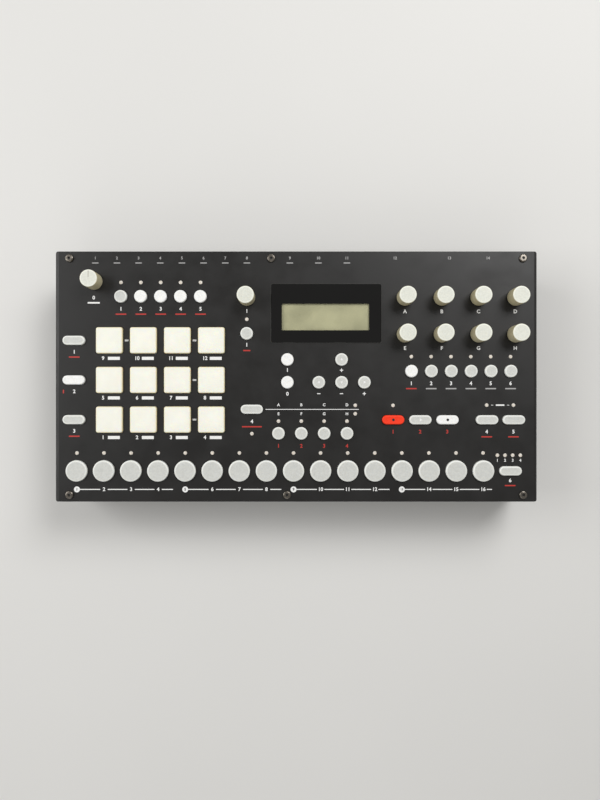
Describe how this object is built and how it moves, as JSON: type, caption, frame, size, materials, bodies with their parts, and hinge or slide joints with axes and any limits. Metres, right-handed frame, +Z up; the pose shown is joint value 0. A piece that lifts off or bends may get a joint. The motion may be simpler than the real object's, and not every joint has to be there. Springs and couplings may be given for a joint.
{
  "type": "drum machine",
  "caption": "Desktop drum machine: a dark steel case with a control panel of pads, step keys, round and pill keys, knobs and a small display, and sockets behind.",
  "frame": {"origin": "on the table under the middle of the top panel", "axes": "+X to the player's right, +Y to the rear, +Z up"},
  "size_m": [0.34, 0.176, 0.063],
  "materials": {
    "panel_paint": "fine textured satin paint",
    "case_paint": "fine textured satin paint",
    "foot_rubber": "matt moulded rubber",
    "screw_steel": "dark zinc plated",
    "board_laminate": "solder resist",
    "switch_plastic": "moulded",
    "encoder_metal": "plated",
    "lamp_lens": "clear diffusing",
    "window_acrylic": "gloss, edge printed black from behind",
    "display_glass": "liquid crystal glass",
    "jack_plastic": "moulded body, plated bushing",
    "socket_plastic": "moulded",
    "usb_shell": "plated",
    "switch_frame": "moulded",
    "knob_ivory": "satin moulded",
    "pad_silicone": "soft translucent silicone",
    "key_grey": "satin moulded"
  },
  "bodies": {
    "case": {"top_panel": "panel_paint", "bottom_case": "case_paint", "rear_panel": "case_paint", "rubber_feet": "foot_rubber", "screws_and_nuts": "screw_steel", "control_board": "board_laminate", "main_board": "board_laminate", "key_switches_and_pad_sensors": "switch_plastic", "encoder_bodies": "encoder_metal", "lamp_lenses": "lamp_lens", "display_window": "window_acrylic", "display_module": "display_glass", "audio_jacks": "jack_plastic", "midi_sockets": "socket_plastic", "usb_socket": "usb_shell", "power_inlet": "socket_plastic", "power_switch_housing": "switch_frame"},
    "volume_knob": {"volume_knob": "knob_ivory"},
    "level_knob": {"level_knob": "knob_ivory"},
    "data_knob_1": {"data_knob_1": "knob_ivory"},
    "data_knob_2": {"data_knob_2": "knob_ivory"},
    "data_knob_3": {"data_knob_3": "knob_ivory"},
    "data_knob_4": {"data_knob_4": "knob_ivory"},
    "data_knob_5": {"data_knob_5": "knob_ivory"},
    "data_knob_6": {"data_knob_6": "knob_ivory"},
    "data_knob_7": {"data_knob_7": "knob_ivory"},
    "data_knob_8": {"data_knob_8": "knob_ivory"},
    "drum_pad_1": {"drum_pad_1": "pad_silicone"},
    "drum_pad_2": {"drum_pad_2": "pad_silicone"},
    "drum_pad_3": {"drum_pad_3": "pad_silicone"},
    "drum_pad_4": {"drum_pad_4": "pad_silicone"},
    "drum_pad_5": {"drum_pad_5": "pad_silicone"},
    "drum_pad_6": {"drum_pad_6": "pad_silicone"},
    "drum_pad_7": {"drum_pad_7": "pad_silicone"},
    "drum_pad_8": {"drum_pad_8": "pad_silicone"},
    "drum_pad_9": {"drum_pad_9": "pad_silicone"},
    "drum_pad_10": {"drum_pad_10": "pad_silicone"},
    "drum_pad_11": {"drum_pad_11": "pad_silicone"},
    "drum_pad_12": {"drum_pad_12": "pad_silicone"},
    "step_key_1": {"step_key_1": "key_grey"},
    "step_key_2": {"step_key_2": "key_grey"},
    "step_key_3": {"step_key_3": "key_grey"},
    "step_key_4": {"step_key_4": "key_grey"},
    "step_key_5": {"step_key_5": "key_grey"},
    "step_key_6": {"step_key_6": "key_grey"},
    "step_key_7": {"step_key_7": "key_grey"},
    "step_key_8": {"step_key_8": "key_grey"},
    "step_key_9": {"step_key_9": "key_grey"},
    "step_key_10": {"step_key_10": "key_grey"},
    "step_key_11": {"step_key_11": "key_grey"},
    "step_key_12": {"step_key_12": "key_grey"},
    "step_key_13": {"step_key_13": "key_grey"},
    "step_key_14": {"step_key_14": "key_grey"},
    "step_key_15": {"step_key_15": "key_grey"},
    "step_key_16": {"step_key_16": "key_grey"},
    "mode_and_page_keys": {"mode_and_page_keys": "key_grey"},
    "edit_keys": {"edit_keys": "key_grey"},
    "left_pill_keys": {"left_pill_keys": "key_grey"},
    "right_pill_keys": {"right_pill_keys": "key_grey"},
    "power_rocker": {"power_rocker": "switch_frame"}
  },
  "joints": [
    {"name": "volume_knob_turn", "type": "hinge", "parent": "case", "child": "volume_knob", "pos_m": [-0.14199, 0.0668, 0.049], "axis": [0, 0, 1], "range_deg": [-150, 150]},
    {"name": "level_knob_turn", "type": "hinge", "parent": "case", "child": "level_knob", "pos_m": [-0.03474, 0.05561, 0.049], "axis": [0, 0, 1], "continuous": true},
    {"name": "data_knob_1_turn", "type": "hinge", "parent": "case", "child": "data_knob_1", "pos_m": [0.07649, 0.05561, 0.049], "axis": [0, 0, 1], "continuous": true},
    {"name": "data_knob_2_turn", "type": "hinge", "parent": "case", "child": "data_knob_2", "pos_m": [0.10236, 0.05561, 0.049], "axis": [0, 0, 1], "continuous": true},
    {"name": "data_knob_3_turn", "type": "hinge", "parent": "case", "child": "data_knob_3", "pos_m": [0.12823, 0.05561, 0.049], "axis": [0, 0, 1], "continuous": true},
    {"name": "data_knob_4_turn", "type": "hinge", "parent": "case", "child": "data_knob_4", "pos_m": [0.1541, 0.05561, 0.049], "axis": [0, 0, 1], "continuous": true},
    {"name": "data_knob_5_turn", "type": "hinge", "parent": "case", "child": "data_knob_5", "pos_m": [0.07649, 0.0298, 0.049], "axis": [0, 0, 1], "continuous": true},
    {"name": "data_knob_6_turn", "type": "hinge", "parent": "case", "child": "data_knob_6", "pos_m": [0.10236, 0.0298, 0.049], "axis": [0, 0, 1], "continuous": true},
    {"name": "data_knob_7_turn", "type": "hinge", "parent": "case", "child": "data_knob_7", "pos_m": [0.12823, 0.0298, 0.049], "axis": [0, 0, 1], "continuous": true},
    {"name": "data_knob_8_turn", "type": "hinge", "parent": "case", "child": "data_knob_8", "pos_m": [0.1541, 0.0298, 0.049], "axis": [0, 0, 1], "continuous": true},
    {"name": "drum_pad_1_press", "type": "slide", "parent": "case", "child": "drum_pad_1", "axis": [0, 0, 1], "range_m": [-0.0008, 0], "stiffness_N_per_m": 1500},
    {"name": "drum_pad_2_press", "type": "slide", "parent": "case", "child": "drum_pad_2", "axis": [0, 0, 1], "range_m": [-0.0008, 0], "stiffness_N_per_m": 1500},
    {"name": "drum_pad_3_press", "type": "slide", "parent": "case", "child": "drum_pad_3", "axis": [0, 0, 1], "range_m": [-0.0008, 0], "stiffness_N_per_m": 1500},
    {"name": "drum_pad_4_press", "type": "slide", "parent": "case", "child": "drum_pad_4", "axis": [0, 0, 1], "range_m": [-0.0008, 0], "stiffness_N_per_m": 1500},
    {"name": "drum_pad_5_press", "type": "slide", "parent": "case", "child": "drum_pad_5", "axis": [0, 0, 1], "range_m": [-0.0008, 0], "stiffness_N_per_m": 1500},
    {"name": "drum_pad_6_press", "type": "slide", "parent": "case", "child": "drum_pad_6", "axis": [0, 0, 1], "range_m": [-0.0008, 0], "stiffness_N_per_m": 1500},
    {"name": "drum_pad_7_press", "type": "slide", "parent": "case", "child": "drum_pad_7", "axis": [0, 0, 1], "range_m": [-0.0008, 0], "stiffness_N_per_m": 1500},
    {"name": "drum_pad_8_press", "type": "slide", "parent": "case", "child": "drum_pad_8", "axis": [0, 0, 1], "range_m": [-0.0008, 0], "stiffness_N_per_m": 1500},
    {"name": "drum_pad_9_press", "type": "slide", "parent": "case", "child": "drum_pad_9", "axis": [0, 0, 1], "range_m": [-0.0008, 0], "stiffness_N_per_m": 1500},
    {"name": "drum_pad_10_press", "type": "slide", "parent": "case", "child": "drum_pad_10", "axis": [0, 0, 1], "range_m": [-0.0008, 0], "stiffness_N_per_m": 1500},
    {"name": "drum_pad_11_press", "type": "slide", "parent": "case", "child": "drum_pad_11", "axis": [0, 0, 1], "range_m": [-0.0008, 0], "stiffness_N_per_m": 1500},
    {"name": "drum_pad_12_press", "type": "slide", "parent": "case", "child": "drum_pad_12", "axis": [0, 0, 1], "range_m": [-0.0008, 0], "stiffness_N_per_m": 1500},
    {"name": "step_key_1_press", "type": "slide", "parent": "case", "child": "step_key_1", "axis": [0, 0, 1], "range_m": [-0.0012, 0], "stiffness_N_per_m": 400},
    {"name": "step_key_2_press", "type": "slide", "parent": "case", "child": "step_key_2", "axis": [0, 0, 1], "range_m": [-0.0012, 0], "stiffness_N_per_m": 400},
    {"name": "step_key_3_press", "type": "slide", "parent": "case", "child": "step_key_3", "axis": [0, 0, 1], "range_m": [-0.0012, 0], "stiffness_N_per_m": 400},
    {"name": "step_key_4_press", "type": "slide", "parent": "case", "child": "step_key_4", "axis": [0, 0, 1], "range_m": [-0.0012, 0], "stiffness_N_per_m": 400},
    {"name": "step_key_5_press", "type": "slide", "parent": "case", "child": "step_key_5", "axis": [0, 0, 1], "range_m": [-0.0012, 0], "stiffness_N_per_m": 400},
    {"name": "step_key_6_press", "type": "slide", "parent": "case", "child": "step_key_6", "axis": [0, 0, 1], "range_m": [-0.0012, 0], "stiffness_N_per_m": 400},
    {"name": "step_key_7_press", "type": "slide", "parent": "case", "child": "step_key_7", "axis": [0, 0, 1], "range_m": [-0.0012, 0], "stiffness_N_per_m": 400},
    {"name": "step_key_8_press", "type": "slide", "parent": "case", "child": "step_key_8", "axis": [0, 0, 1], "range_m": [-0.0012, 0], "stiffness_N_per_m": 400},
    {"name": "step_key_9_press", "type": "slide", "parent": "case", "child": "step_key_9", "axis": [0, 0, 1], "range_m": [-0.0012, 0], "stiffness_N_per_m": 400},
    {"name": "step_key_10_press", "type": "slide", "parent": "case", "child": "step_key_10", "axis": [0, 0, 1], "range_m": [-0.0012, 0], "stiffness_N_per_m": 400},
    {"name": "step_key_11_press", "type": "slide", "parent": "case", "child": "step_key_11", "axis": [0, 0, 1], "range_m": [-0.0012, 0], "stiffness_N_per_m": 400},
    {"name": "step_key_12_press", "type": "slide", "parent": "case", "child": "step_key_12", "axis": [0, 0, 1], "range_m": [-0.0012, 0], "stiffness_N_per_m": 400},
    {"name": "step_key_13_press", "type": "slide", "parent": "case", "child": "step_key_13", "axis": [0, 0, 1], "range_m": [-0.0012, 0], "stiffness_N_per_m": 400},
    {"name": "step_key_14_press", "type": "slide", "parent": "case", "child": "step_key_14", "axis": [0, 0, 1], "range_m": [-0.0012, 0], "stiffness_N_per_m": 400},
    {"name": "step_key_15_press", "type": "slide", "parent": "case", "child": "step_key_15", "axis": [0, 0, 1], "range_m": [-0.0012, 0], "stiffness_N_per_m": 400},
    {"name": "step_key_16_press", "type": "slide", "parent": "case", "child": "step_key_16", "axis": [0, 0, 1], "range_m": [-0.0012, 0], "stiffness_N_per_m": 400},
    {"name": "mode_and_page_keys_press", "type": "slide", "parent": "case", "child": "mode_and_page_keys", "axis": [0, 0, 1], "range_m": [-0.0012, 0], "stiffness_N_per_m": 4400},
    {"name": "edit_keys_press", "type": "slide", "parent": "case", "child": "edit_keys", "axis": [0, 0, 1], "range_m": [-0.0012, 0], "stiffness_N_per_m": 4400},
    {"name": "left_pill_keys_press", "type": "slide", "parent": "case", "child": "left_pill_keys", "axis": [0, 0, 1], "range_m": [-0.0012, 0], "stiffness_N_per_m": 1600},
    {"name": "right_pill_keys_press", "type": "slide", "parent": "case", "child": "right_pill_keys", "axis": [0, 0, 1], "range_m": [-0.0012, 0], "stiffness_N_per_m": 2400},
    {"name": "power_rocker_tilt", "type": "hinge", "parent": "case", "child": "power_rocker", "pos_m": [0.1349, 0.0792, 0.021], "axis": [1, 0, 0], "range_deg": [0, 18]}
  ]
}
